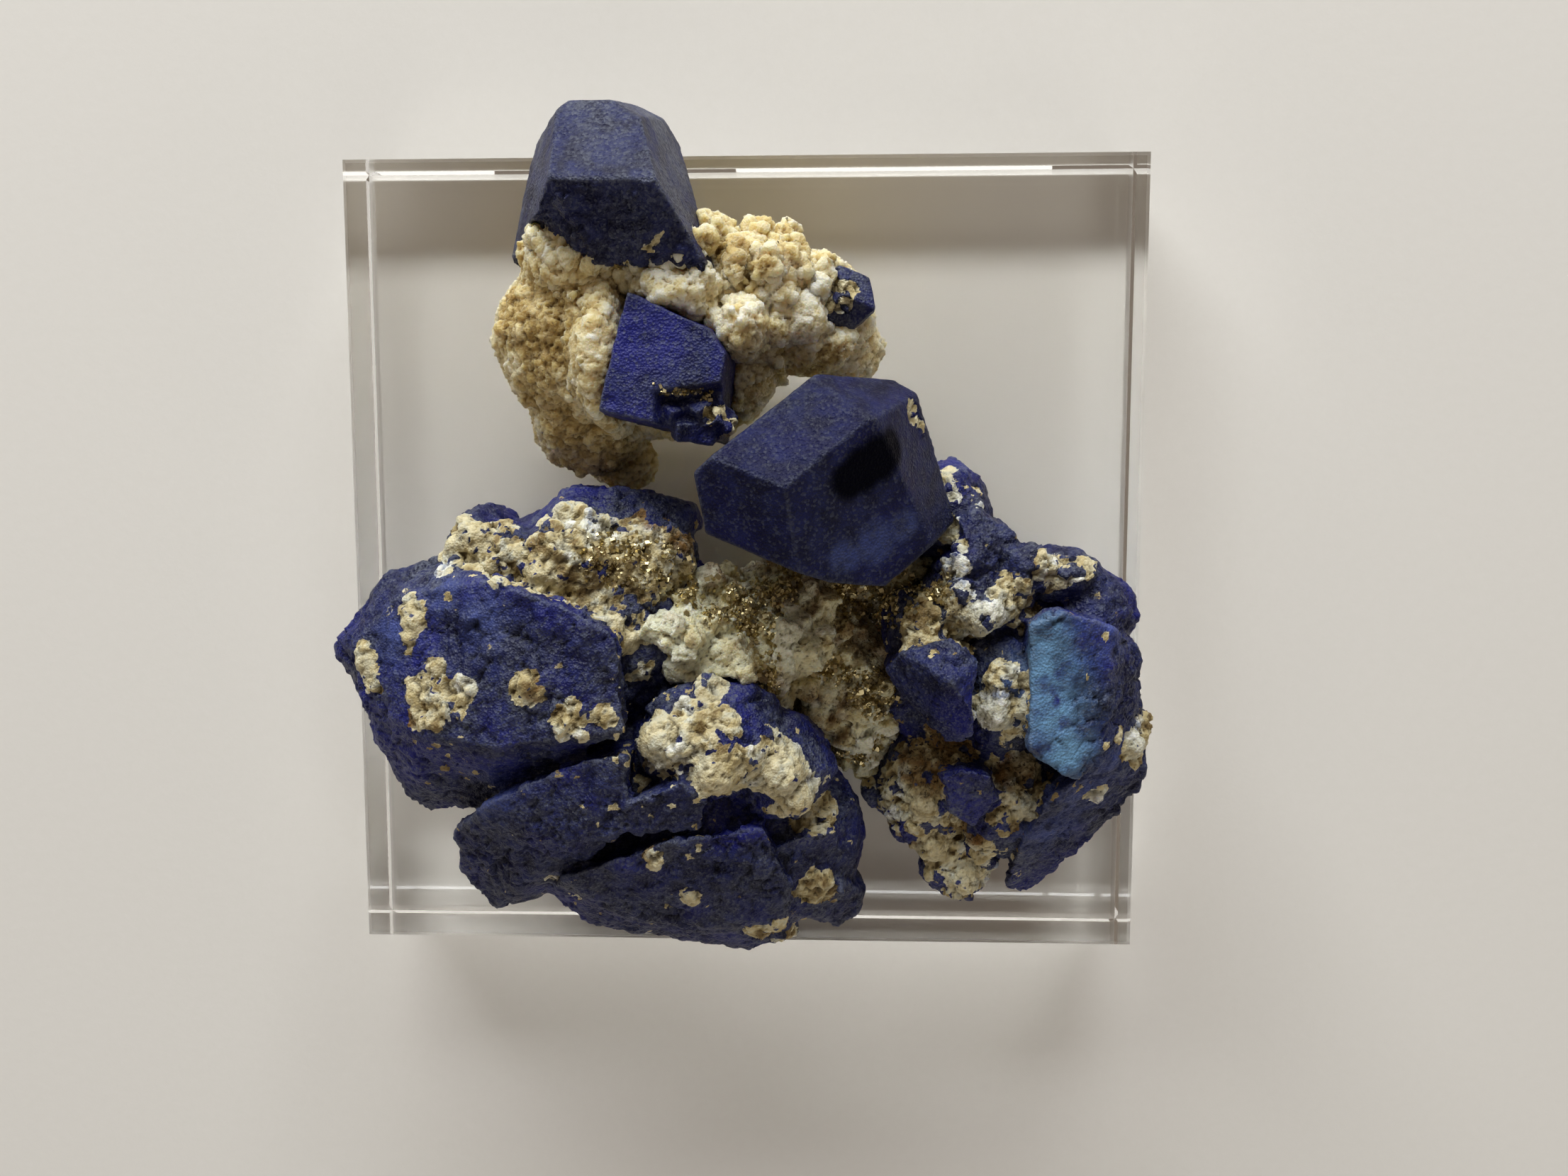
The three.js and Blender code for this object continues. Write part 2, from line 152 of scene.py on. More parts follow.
# Painted reflections on the large crystal: a blackish patch, and a pale haze below it
LARGE_DARK_REFLECTION = [
    (9.9, 8.1, 35.0, 3.4), (10.9, 8.9, 34.4, 4.2), (12.0, 9.7, 33.7, 4.2), (12.9, 10.5, 32.8, 3.4),
]
LARGE_PALE_REFLECTION = [(12.0, 3.1, 32.2, 3.2), (9.6, 2.0, 33.5, 2.6), (14.2, 4.4, 31.0, 2.4)]
# Marks on the large crystal: a darker tone all over, and painted reflections, a blackish one and a pale one:
# how strong each is, and where
LARGE_SHADE = 0.35
LARGE_PAINTED_REFLECTIONS = {"dark": (1.0, LARGE_DARK_REFLECTION), "bright": (0.75, LARGE_PALE_REFLECTION), "bloom": (0.7, LARGE_PALE_REFLECTION)}
TOP_SPECKS = [(-5.6, 27.6, 29.0, 1.5), (-7.8, 26.5, 28.0, 1.2)]
EMBEDDED_SPECKS = [(-1.4, 13.4, 28.0, 1.4), (0.2, 12.2, 27.5, 1.2)]

EMBEDDED_BREAK = [
    (-2.6, 13.6, 28.0, 1.7), (-0.8, 12.9, 27.9, 1.6), (-3.6, 12.0, 28.2, 1.6), (-1.9, 11.9, 27.6, 1.5),
    (-4.6, 13.4, 28.6, 1.3),
]

# Strings of pyrite grains: points along each, and the string's half width
PYRITE_STRINGS = [
    ([(-11.0, 1.4, 27.6), (-6.0, 1.0, 27.0)], 2.6),
    ([(-6.0, 1.0, 27.0), (-2.5, -1.5, 26.5), (1.0, -3.5, 25.0)], 2.4),
    ([(1.0, -3.5, 25.0), (2.8, -6.5, 24.0), (2.0, -10.0, 25.0)], 2.6),
    ([(8.5, -8.5, 22.0), (12.5, -11.5, 21.0)], 2.4),
    ([(3.5, -1.8, 22.0), (9.0, -2.5, 19.0), (14.0, -1.5, 23.0)], 3.0),
    ([(14.0, -3.0, 26.0), (17.0, -1.0, 26.5)], 2.0),
    ([(-5.6, 15.6, 29.6), (-1.6, 15.0, 29.0)], 0.7),
    ([(-9.0, 26.0, 27.0), (-4.5, 27.0, 27.5)], 1.1),
    ([(10.0, -17.0, 18.0), (13.0, -15.0, 18.0)], 2.0),
]
PYRITE_COUNT = 5200
PYRITE_SIDE = (0.12, 0.42)

# Noise


def hashed(cells, seed):
    """A number from 0 to 1 for each whole-number cell."""
    n = cells.astype(np.int64)
    h = n[..., 0] * 73856093 ^ n[..., 1] * 19349663 ^ n[..., 2] * 83492791 ^ seed * 40503
    h = ((h ^ (h >> 13)) * 1274126177) & 0x7FFFFFFF
    h = ((h ^ (h >> 15)) * 668265263) & 0x7FFFFFFF
    return ((h ^ (h >> 13)) & 0xFFFFFF) / 0xFFFFFF


def smooth_noise(points, seed):
    """A smooth noise from -1 to 1 that changes over a length of about 1."""
    low = np.floor(points)
    part = points - low
    part = part * part * (3 - 2 * part)
    total = np.zeros(len(points))
    for corner in np.ndindex(2, 2, 2):
        corner = np.array(corner)
        weight = np.where(corner, part, 1 - part).prod(axis=1)
        total += weight * hashed(low + corner, seed)
    return 2 * total - 1


def fractal(points, length, seed, octaves=3):
    total = np.zeros(len(points))
    for octave in range(octaves):
        total += smooth_noise(points * 2**octave / length + 17.3 * octave, seed + octave) / 2**octave
    return total / (2 - 2 ** (1 - octaves))


def grains(points, length, seed):
    """For each point: how far its grain's wall is, how high a tilted facet lies and the grain's number."""
    scaled = points / length
    low = np.floor(scaled)
    first = np.full(len(points), 9.0)
    second = np.full(len(points), 9.0)
    offset = np.zeros_like(points)
    grain = np.zeros_like(points)
    for step in np.ndindex(3, 3, 3):
        cell = low + np.array(step) - 1
        centre = cell + np.stack([hashed(cell, seed + axis) for axis in range(3)], axis=1)
        distance = np.linalg.norm(scaled - centre, axis=1)
        nearer = distance < first
        second = np.where(nearer, first, np.minimum(second, distance))
        first = np.where(nearer, distance, first)
        offset[nearer] = (scaled - centre)[nearer]
        grain[nearer] = cell[nearer]
    lean = np.stack([hashed(grain, seed + 11 + axis) for axis in range(3)], axis=1) * 2 - 1
    return second - first, (lean * offset).sum(axis=1), hashed(grain, seed + 17)


def grain_relief(points, length, seed):
    """Packed angular grains: their height, in the unit of length, and each grain's number from 0 to 1."""
    bent = points + 0.18 * length * fractal(points, length * 0.8, seed + 2, 2)[:, None]
    wall, facet, number = grains(bent, length, seed)
    seam = 1 - smoothstep(0, 0.14, wall)
    return length * (0.3 * (number - 0.5) + 0.3 * facet - 0.16 * seam), number, seam


def terraces(points, length, seed):
    """Flat growth steps with sharp edges, from 0 to 1."""
    level = 3 * (fractal(points, length, seed, 3) + 1)
    whole = np.floor(level)
    return (whole + smoothstep(0.35, 0.65, level - whole)) / 6


def smoothstep(low, high, values):
    t = np.clip((values - low) / (high - low), 0, 1)
    return t * t * (3 - 2 * t)


def patches(points, places, ragged=0.35, length=1.4, seed=3):
    """How far each point is inside the nearest of some ragged patches, from 0 to 1."""
    inside = np.full(len(points), -9.0)
    for x, y, z, radius in places:
        distance = np.linalg.norm(points - (x, y, z), axis=1)
        inside = np.maximum(inside, 1 - distance / radius)
    return smoothstep(-0.08, 0.2, inside + ragged * fractal(points, length, seed))


def glow(points, places):
    """A soft spot round each place, 1 at its middle."""
    brightest = np.zeros(len(points))
    for x, y, z, radius in places:
        squared = ((points - (x, y, z)) ** 2).sum(axis=1)
        brightest = np.maximum(brightest, np.exp(-2 * squared / radius**2))
    return brightest


# Meshes


def solid_of(name):
    """The points in millimetres and the triangles of a CAD node."""
    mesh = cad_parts[name].data
    mesh.calc_loop_triangles()
    points = np.array([v.co for v in mesh.vertices]) / MM
    triangles = np.array([t.vertices for t in mesh.loop_triangles])
    return points, triangles


def samples(points, faces, count, seed):
    """Points spread evenly over a surface, with their normals."""
    rng = np.random.default_rng(seed)
    a, b, c = points[faces[:, 0]], points[faces[:, 1]], points[faces[:, 2]]
    normal = np.cross(b - a, c - a)
    area = np.linalg.norm(normal, axis=1)
    pick = rng.choice(len(faces), count, p=area / area.sum())
    u, v = rng.random((2, count))
    turned = u + v > 1
    u[turned], v[turned] = 1 - u[turned], 1 - v[turned]
    at = a[pick] + u[:, None] * (b - a)[pick] + v[:, None] * (c - a)[pick]
    return at, normal[pick] / area[pick][:, None]


def turns(count, rng):
    """Random turns as matrices."""
    q = rng.normal(size=(count, 4))
    w, x, y, z = (q / np.linalg.norm(q, axis=1)[:, None]).T
    rows = [
        [1 - 2 * (y * y + z * z), 2 * (x * y - z * w), 2 * (x * z + y * w)],
        [2 * (x * y + z * w), 1 - 2 * (x * x + z * z), 2 * (y * z - x * w)],
        [2 * (x * z - y * w), 2 * (y * z + x * w), 1 - 2 * (x * x + y * y)],
    ]
    return np.array(rows).transpose(2, 0, 1)


def scattered(unit, centres, radii, stretch, seed):
    """Copies of a unit shape at some centres, each turned and stretched its own way."""
    rng = np.random.default_rng(seed)
    points, faces = unit
    count = len(centres)
    sizes = radii[:, None] * rng.uniform(*stretch, size=(count, 3))
    shapes = points[None] * sizes[:, None]
    shapes = np.einsum("nij,npj->npi", turns(count, rng), shapes) + centres[:, None]
    offsets = np.arange(count)[:, None, None] * len(points)
    return shapes.reshape(-1, 3), (faces[None] + offsets).reshape(-1, faces.shape[1])


def crust(points, faces, places, count, radii, seed, sunk=0.35):
    """Grains that grow out of a surface inside some places: their centres and radii."""
    rng = np.random.default_rng(seed)
    at, normal = samples(points, faces, 24 * count, seed)
    keep = np.flatnonzero(patches(at, places, seed=seed) > 0.5)
    keep = rng.permutation(keep)[:count]
    radius = rng.uniform(*radii, size=len(keep)) * rng.uniform(0.7, 1, size=len(keep))
    return at[keep] - normal[keep] * radius[:, None] * sunk, radius


def make_mesh(name, points, faces):
    mesh = bpy.data.meshes.new(name)
    mesh.from_pydata((points * MM).tolist(), [], faces.tolist())
    mesh.validate()
    return mesh


def remeshed(points, faces, size):
    """One even skin round all that the faces enclose, in quads."""
    mesh = bpy.data.meshes.new("skin")
    mesh.from_pydata(points.tolist(), [], faces.tolist())
    body = bpy.data.objects.new("skin", mesh)
    bpy.context.scene.collection.objects.link(body)
    modifier = body.modifiers.new("skin", "REMESH")
    modifier.mode = "VOXEL"
    modifier.voxel_size = size
    graph = bpy.context.evaluated_depsgraph_get()
    made = body.evaluated_get(graph).to_mesh()
    out = np.empty(len(made.vertices) * 3)
    made.vertices.foreach_get("co", out)
    quads = np.array([p.vertices for p in made.polygons if len(p.vertices) == 4])
    body.evaluated_get(graph).to_mesh_clear()
    bpy.data.objects.remove(body)
    bpy.data.meshes.remove(mesh)
    return out.reshape(-1, 3), quads


def normals(points, quads):
    a, b, c, d = (points[quads[:, corner]] for corner in range(4))
    diagonal = np.cross(c - a, d - b)
    total = np.stack([spread_sum(quads, diagonal[:, axis], len(points)) for axis in range(3)], axis=1)
    return total / np.maximum(np.linalg.norm(total, axis=1), 1e-12)[:, None]


def spread_sum(quads, values, count):
    """The sum at each point of a value of the faces round it."""
    return np.bincount(quads.ravel(), np.repeat(values, 4), count)


def eased(points, quads, rounds):
    """Points moved to the middle of the faces round them, some times over."""
    share = spread_sum(quads, np.ones(len(quads)), len(points))
    for _ in range(rounds):
        middle = points[quads].mean(axis=1)
        total = [spread_sum(quads, middle[:, axis], len(points)) for axis in range(3)]
        points = np.stack(total, axis=1) / share[:, None]
    return points


def sharpness(points, quads):
    """How far each point stands out of its surroundings: above 0 on edges and below 0 in creases."""
    return ((points - eased(points, quads, 4)) * normals(points, quads)).sum(axis=1)


def creases(points, quads):
    """Painted shade in creases, from 0 to 1."""
    return smoothstep(0.03, 0.14, -sharpness(points, quads))


def dressed(node, points, quads, marks, material):
    """A finished piece that stands for a CAD node, with its marks as attributes of its points."""
    mesh = make_mesh(node + "_skin", points, quads)
    for name, values in marks.items():
        mesh.attributes.new(name, "FLOAT", "POINT").data.foreach_set("value", values.astype(np.float32))
    mesh.polygons.foreach_set("use_smooth", np.ones(len(mesh.polygons), bool))
    mesh.materials.append(material)
    piece = bpy.data.objects.new(node + "_skin", mesh)
    bpy.context.scene.collection.objects.link(piece)
    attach(piece, BODY)
    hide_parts(node)
    return piece


# Relief


def crystal_relief(points, seed):
    """Faint waves, growth steps, fine grain and a few pits on a crystal's faces."""
    wave = 0.12 * fractal(points, 5.0, seed, 2)
    step = 0.3 * terraces(points, 4.0, seed + 3)
    grain = 0.14 * fractal(points, 0.9, seed + 5, 3)
    pits = -0.2 * smoothstep(0.4, 0.7, fractal(points, 1.6, seed + 9, 2))
    return wave + step + grain + pits - 0.15


def gritty_relief(points, seed):
    """Lumps and small angular grains on a crystal that has grown in rough matrix."""
    lumps = 0.55 * fractal(points, 4.5, seed + 1, 3)
    knobby = smoothstep(-0.2, 0.4, fractal(points, 5.0, seed + 16))
    knobs = 0.8 * grain_relief(points, 1.7, seed + 14)[0] * knobby
    grit = 0.55 * grain_relief(points, 0.8, seed + 18)[0]
    return lumps + knobs + grit


# Shader nodes


def shader(tree, kind, values=(), **settings):
    made = tree.nodes.new("ShaderNode" + kind)
    for key, value in settings.items():
        setattr(made, key, value)
    for key, value in dict(values).items():
        if isinstance(value, bpy.types.NodeSocket):
            tree.links.new(value, made.inputs[key])
        else:
            made.inputs[key].default_value = value
    return made


def material_tree(name):
    material = bpy.data.materials.new(name)
    material.use_nodes = True
    tree = material.node_tree
    surface = tree.nodes["Principled BSDF"]
    where = tree.nodes.new("ShaderNodeTexCoord").outputs["Object"]
    return material, tree, surface, where


def noise_texture(tree, where, scale, detail=4.0, roughness=0.55):
    values = {"Vector": where, "Scale": scale, "Detail": detail, "Roughness": roughness}
    return shader(tree, "TexNoise", values).outputs["Fac"]


def band(tree, value, low, high):
    """0 below low, 1 above high and a ramp between."""
    values = {"Value": value, "From Min": low, "From Max": high}
    return shader(tree, "MapRange", values, interpolation_type="SMOOTHSTEP").outputs[0]


def spread(tree, value, low, high):
    """A value from 0 to 1 spread over a range."""
    return shader(tree, "MapRange", {"Value": value, "To Min": low, "To Max": high}).outputs[0]


def math_node(tree, operation, a, b):
    return shader(tree, "Math", {0: a, 1: b}, operation=operation).outputs[0]


def blended(tree, share, a, b):
    return shader(tree, "Mix", {0: share, 6: a, 7: b}, data_type="RGBA").outputs[2]


def mark(tree, name):
    return shader(tree, "Attribute", attribute_name=name).outputs["Fac"]


# Mineral colours, linear
DEEP_BLUE = (0.005, 0.006, 0.035, 1)
MID_BLUE = (0.016, 0.022, 0.1, 1)
VIVID_BLUE = (0.012, 0.015, 0.17, 1)
# The lighter blue of painted sheen
PAINTED_SHEEN_BLUE = (0.07, 0.1, 0.32, 1)
CYAN_BLUE = (0.17, 0.36, 0.58, 1)
# Grey of dust, grit and worn edges, and of painted sheen on faces that catch the light
DUST_AND_SHEEN_GREY = (0.12, 0.135, 0.18, 1)
MIXED_TONES = [
    (0.0, (0.24, 0.17, 0.07, 1)),
    (0.2, (0.52, 0.43, 0.22, 1)),
    (0.42, (0.72, 0.65, 0.42, 1)),
    (0.62, (0.58, 0.57, 0.44, 1)),
    (0.82, (0.9, 0.9, 0.8, 1)),
    (1.0, (0.36, 0.4, 0.48, 1)),
]
WARM_TONES = [
    (0.0, (0.36, 0.24, 0.08, 1)),
    (0.25, (0.6, 0.45, 0.19, 1)),
    (0.5, (0.8, 0.66, 0.35, 1)),
    (0.75, (0.88, 0.78, 0.5, 1)),
    (1.0, (0.93, 0.88, 0.7, 1)),
]
GREY_TONES = [
    (0.0, (0.3, 0.22, 0.09, 1)),
    (0.25, (0.62, 0.53, 0.28, 1)),
    (0.5, (0.84, 0.78, 0.5, 1)),
    (0.75, (0.68, 0.68, 0.5, 1)),
    (1.0, (0.92, 0.9, 0.72, 1)),
]
# CLEAR_DARK and DARK_BROWN also paint shade in creases, and CLEAR_DARK paints the blackish reflection on the
# large crystal.
CLEAR_DARK = (0.0008, 0.0009, 0.004, 1)
BROWN = (0.22, 0.12, 0.035, 1)
DARK_BROWN = (0.045, 0.026, 0.01, 1)


def ramp(tree, value, stops):
    made = shader(tree, "ValToRGB", {"Fac": value})
    colours = made.color_ramp.elements
    while len(colours) < len(stops):
        colours.new(0.5)
    for element, (place, colour) in zip(colours, stops):
        element.position = place
        element.color = colour
    return made.outputs["Color"]


def product(tree, a, b):
    return math_node(tree, "MULTIPLY", a, b)


def mineral(name, tones, clearness, depth):
    """Blue crystal and pale calcite in one material, told apart by the marks on the points."""
    material, tree, surface, where = material_tree(name)
    broad = noise_texture(tree, where, 170)
    middle = noise_texture(tree, where, 620, 5)
    fine = noise_texture(tree, where, 2600, 3, 0.65)
    speck = shader(tree, "TexVoronoi", {"Vector": where, "Scale": 4600.0})

    blue = blended(tree, band(tree, middle, 0.36, 0.66), DEEP_BLUE, MID_BLUE)
    blue = blended(tree, product(tree, mark(tree, "vivid"), band(tree, broad, 0.3, 0.6)), blue, VIVID_BLUE)
    grit = band(tree, shader(tree, "SeparateColor", {0: speck.outputs["Color"]}).outputs[0], 0.45, 0.95)
    powder = math_node(tree, "MAXIMUM", product(tree, grit, 0.8), band(tree, fine, 0.35, 0.75))
    # Dust, and painted sheen, greying the blue
    blue = blended(tree, product(tree, mark(tree, "bloom"), powder), blue, DUST_AND_SHEEN_GREY)
    blue = blended(tree, product(tree, band(tree, grit, 0.7, 1.0), 0.35), blue, DUST_AND_SHEEN_GREY)
    blue = blended(tree, product(tree, mark(tree, "edge"), band(tree, fine, 0.3, 0.6)), blue, DUST_AND_SHEEN_GREY)
    # Painted sheen: a lighter blue in spots where faces catch light
    bright = product(tree, mark(tree, "bright"), band(tree, middle, 0.2, 0.65))
    blue = blended(tree, bright, blue, PAINTED_SHEEN_BLUE)
    blue = blended(tree, product(tree, mark(tree, "cyan"), band(tree, middle, 0.25, 0.6)), blue, CYAN_BLUE)

    # Seams: joints between grains, and painted shade in creases.
    blue = blended(tree, product(tree, mark(tree, "seam"), 0.7), blue, CLEAR_DARK)
    # The darker tone, and a painted blackish reflection
    blue = blended(tree, mark(tree, "dark"), blue, CLEAR_DARK)

    mottle = product(tree, math_node(tree, "SUBTRACT", middle, 0.5), 0.5)
    shade = math_node(tree, "ADD", mark(tree, "tone"), mottle)
    pale = ramp(tree, shade, tones)
    pale = blended(tree, product(tree, mark(tree, "stain"), band(tree, middle, 0.3, 0.62)), pale, BROWN)
    pale = blended(tree, product(tree, mark(tree, "stain"), band(tree, fine, 0.54, 0.66)), pale, DARK_BROWN)
    # Seams: joints between grains, and painted shade in creases.
    pale = blended(tree, product(tree, mark(tree, "seam"), 0.75), pale, DARK_BROWN)

    ragged = product(tree, math_node(tree, "SUBTRACT", fine, 0.5), 1.0)
    calcite = band(tree, math_node(tree, "ADD", mark(tree, "calcite"), ragged), 0.4, 0.6)
    tree.links.new(blended(tree, calcite, blue, pale), surface.inputs["Base Color"])

    rough_blue = spread(tree, middle, 0.3, 0.58)
    rough = shader(tree, "Mix", {0: calcite, 2: rough_blue, 3: 0.5}, data_type="FLOAT").outputs[0]
    tree.links.new(rough, surface.inputs["Roughness"])
    tree.links.new(product(tree, calcite, clearness), surface.inputs["Subsurface Weight"])
    # Less specular where the tone is darker, and almost none in the painted reflection
    sheen = spread(tree, mark(tree, "dark"), 0.22, 0.03)
    tree.links.new(sheen, surface.inputs["Specular IOR Level"])
    surface.inputs["Subsurface Radius"].default_value = (1.0, 0.8, 0.5)
    surface.inputs["Subsurface Scale"].default_value = depth * MM

    height = math_node(tree, "ADD", fine, product(tree, speck.outputs["Distance"], 0.7))
    height = math_node(tree, "ADD", height, product(tree, middle, 0.6))
    bump = shader(tree, "Bump", {"Strength": 0.7, "Distance": 0.18 * MM, "Height": height})
    tree.links.new(bump.outputs[0], surface.inputs["Normal"])
    return material


def pyrite():
    material, tree, surface, where = material_tree("pyrite")
    tint = blended(tree, noise_texture(tree, where, 900), (0.34, 0.27, 0.12, 1), (0.75, 0.65, 0.38, 1))
    tree.links.new(tint, surface.inputs["Base Color"])
    surface.inputs["Metallic"].default_value = 1.0
    rough = spread(tree, noise_texture(tree, where, 2600), 0.2, 0.5)
    tree.links.new(rough, surface.inputs["Roughness"])
    return material


def acrylic():
    """Clear cast sheet with a few fine scratches."""
    material, tree, surface, where = material_tree("acrylic")
    surface.inputs["Base Color"].default_value = (0.985, 0.98, 0.965, 1)
    surface.inputs["Transmission Weight"].default_value = 1.0
    surface.inputs["IOR"].default_value = 1.49
    scuffs = band(tree, noise_texture(tree, where, 900, 8, 0.7), 0.66, 0.8)
    rough = spread(tree, scuffs, 0.0, 0.12)
    tree.links.new(rough, surface.inputs["Roughness"])
    return material


def paper():
    material, tree, surface, where = material_tree("paper")
    fibres = noise_texture(tree, where, 900, 8, 0.7)
    tint = blended(tree, fibres, (0.8, 0.785, 0.74, 1), (0.84, 0.825, 0.785, 1))
    tree.links.new(tint, surface.inputs["Base Color"])
    surface.inputs["Roughness"].default_value = 0.9
    bump = shader(tree, "Bump", {"Strength": 0.15, "Distance": 0.1 * MM, "Height": fibres})
    tree.links.new(bump.outputs[0], surface.inputs["Normal"])
    return material


LAZURITE = mineral("lazurite", MIXED_TONES, 0.3, 0.7)
CALCITE = mineral("calcite", WARM_TONES, 0.65, 2.0)
GREY_CALCITE = mineral("grey_calcite", GREY_TONES, 0.5, 1.2)
CUBE = (
    np.array(list(np.ndindex(2, 2, 2))) * 2.0 - 1.0,
    np.array([[0, 1, 3], [0, 3, 2], [4, 6, 7], [4, 7, 5], [0, 4, 5], [0, 5, 1],
              [2, 3, 7], [2, 7, 6], [0, 2, 6], [0, 6, 4], [1, 5, 7], [1, 7, 3]]),
)
BLOCK_SHRINK = 0.62
BLOCK_STRETCH = (0.65, 1.15)
LUMP_SHRINK = 0.85
LUMP_STRETCH = (0.8, 1.15)
FILL_FACES = 2.5
GOLDEN_SHARE = 0.618034
HALO_REACH = 1.7
FILL_ROUNDS = 140
FILL_GAIN = 3.0
FILL_MOST = 2.6


def ball():
    """A round unit shape with a few flat sides."""
    shape = bmesh.new()
    bmesh.ops.create_icosphere(shape, subdivisions=2, radius=1.0)
    points = np.array([v.co for v in shape.verts])
    faces = np.array([[v.index for v in f.verts] for f in shape.faces])
    shape.free()
    return points, faces


BALL = ball()

# Specimen pieces
AIR_OVER_BLOCK = 0.1
LOWEST = solid_of("acrylic_block")[0][:, 2].max() + AIR_OVER_BLOCK


def filled(points, quads, rounds):
    """A skin with its narrow creases filled."""
    rise = ((eased(points, quads, rounds) - points) * normals(points, quads)).sum(axis=1)
    return moved(points, quads, np.clip(FILL_GAIN * rise, 0, FILL_MOST))


def grown(node, blocks=None, fill=0, lumps=()):
    """A node's even skin, with its creases filled, and angular grains and round lumps joined to it."""
    points, faces = solid_of(node)
    if fill:
        points, quads = remeshed(points, faces, FACE_SIZE[node] * FILL_FACES)
        points = filled(points, quads, fill)
        faces = np.concatenate([quads[:, :3], quads[:, [0, 2, 3]]])
    added = []
    if blocks:
        centres, radii = blocks
        added.append(scattered(CUBE, centres, radii * BLOCK_SHRINK, BLOCK_STRETCH, 41))
    if lumps:
        centres, radii = grain_set(lumps)
        added.append(scattered(BALL, centres, radii * LUMP_SHRINK, LUMP_STRETCH, 42))
    for extra, more in added:
        faces = np.concatenate([faces, more + len(points)])
        points = np.concatenate([points, extra])
    return remeshed(points, faces, FACE_SIZE[node])


def moved(points, quads, amount):
    """Points pushed out along their normals, but not into the block."""
    pushed = points + normals(points, quads) * amount[:, None]
    pushed[:, 2] = np.maximum(pushed[:, 2], LOWEST)
    return pushed


def inside_blocks(points, blocks):
    """For each point: 1 inside a grain that was joined on and 0 outside, and that grain's number."""
    inside = np.zeros(len(points))
    number = np.full(len(points), 0.5)
    for order, (centre, radius) in enumerate(zip(*blocks)):
        close = np.flatnonzero(np.abs(points[:, 2] - centre[2]) < radius)
        share = smoothstep(radius, radius * 0.8, np.linalg.norm(points[close] - centre, axis=1))
        more = share > inside[close]
        inside[close[more]] = share[more]
        number[close[more]] = order * GOLDEN_SHARE % 1
    return inside, number


def cluster(node, places, lumps, seed, count, bloom):
    """Crystals and calcite grown together, with places for each mineral's look."""
    solid_points, solid_faces = solid_of(node)
    blocks = crust(solid_points, solid_faces, places["calcite"], count, (0.4, 1.3), seed)
    points, quads = grown(node, blocks, lumps=lumps)
    edge = smoothstep(0.02, 0.1, sharpness(points, quads))
    points = eased(points, quads, 1)
    zone = patches(points, places["calcite"], 0.7, 2.4, seed=seed)
    coarse, grain, seam = grain_relief(points, 1.3, seed + 3)
    fine, small_grain, small_seam = grain_relief(points, 0.6, seed + 5)
    on_lump = patches(points, lumps, 0.5, 0.9, seed=seed + 7)
    speckle = 0.06 * smoothstep(-0.1, 0.6, fractal(points, 6.0, seed + 30))
    mixed = 0.66 * zone - 0.5 * grain - 0.5 * small_grain + 0.25 * fractal(points, 2.0, seed + 8)
    pale = np.maximum(smoothstep(-0.1, 0.1, mixed), smoothstep(-0.03, 0.03, speckle - small_grain))
    on_block, block_number = inside_blocks(points, blocks)
    pale = np.maximum(pale, np.maximum(0.75 * on_block * (block_number > 0.25), on_lump))
    tone = 0.34 + 0.5 * (block_number - 0.5) + 0.5 * (small_grain - 0.5)
    tone += 0.6 * fractal(points, 4.0, seed + 6)
    tone = tone * (1 - 0.6 * on_lump) + 0.24 * on_lump
    tone += 0.45 * glow(points, places["white"])
    wider = [(x, y, z, HALO_REACH * radius) for x, y, z, radius in places["calcite"]]
    halo = patches(points, wider, 0.7, 2.4, seed=seed)
    # Dust round the calcite, and painted sheen on faces that point up
    upward = smoothstep(0.2, 0.85, normals(points, quads)[:, 2])
    dust_and_top_sheen = np.maximum(0.9 * halo, bloom * upward) * smoothstep(-0.5, 0.4, fractal(points, 2.4, seed + 11))
    cyan = glow(points, places["cyan"])
    blue = (crystal_relief(points, seed) + gritty_relief(points, seed)) * (1 - 0.85 * cyan)
    amount = blue * (1 - zone) + (coarse * (1 - 0.6 * on_lump) + fine * 0.9 + 0.05) * zone
    points = moved(points, quads, amount)
    marks = {
        "calcite": pale,
        "tone": np.clip(tone, 0, 1),
        "stain": patches(points, places["stain"], seed=seed + 4),
        # The seam mark holds joints between grains and painted shade in creases.
        "seam": np.maximum(0.4 * np.maximum(seam, small_seam) * zone, creases(points, quads)),
        "bloom": dust_and_top_sheen,
        "vivid": smoothstep(-0.2, 0.4, fractal(points, 5.0, seed + 13)),
        "edge": 0.5 * edge,
        "cyan": cyan * (0.9 + 0.3 * fractal(points, 3.0, seed + 15)),
        "bright": 0.8 * glow(points, places["bright"]),
    }
    return dressed(node, points, quads, marks, LAZURITE), points, quads


def grain_set(places):
    """Grains at given places: their centres and radii."""
    places = np.array(places)
    return places[:, :3], places[:, 3]


def joined(*sets):
    """Several sets of grains as one."""
    return [np.concatenate(part) for part in zip(*sets)]


